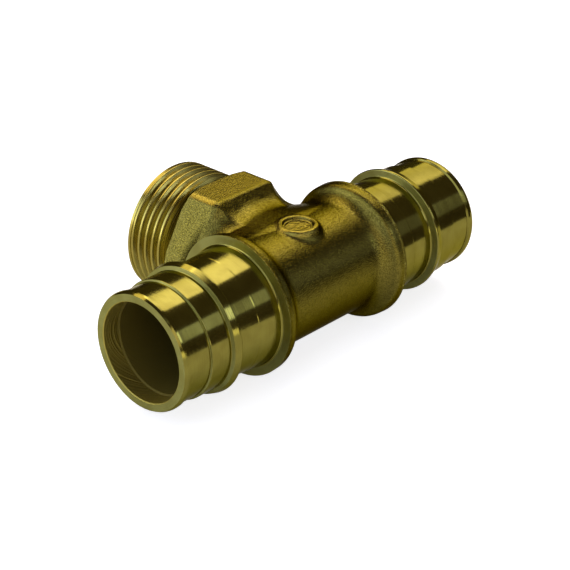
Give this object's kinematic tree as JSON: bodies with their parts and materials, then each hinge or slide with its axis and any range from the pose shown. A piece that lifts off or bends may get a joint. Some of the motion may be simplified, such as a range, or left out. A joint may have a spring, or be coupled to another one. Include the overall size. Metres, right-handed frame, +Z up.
{
  "type": "pex tee",
  "caption": "Forged brass pipe tee with ribbed spigots for expansion-joined plastic pipe on the run and a male pipe thread behind a hexagon on the branch.",
  "frame": {"origin": "point where the axis of the run meets the axis of the branch", "axes": "+X along the run, +Y along the branch towards its threaded end, +Z up through the mark boss"},
  "size_m": [0.081, 0.0463, 0.0276],
  "materials": {
    "brass": "polished machined ends, sand-blasted forged body"
  },
  "bodies": {
    "root": {"tee_body": "brass"}
  },
  "joints": []
}
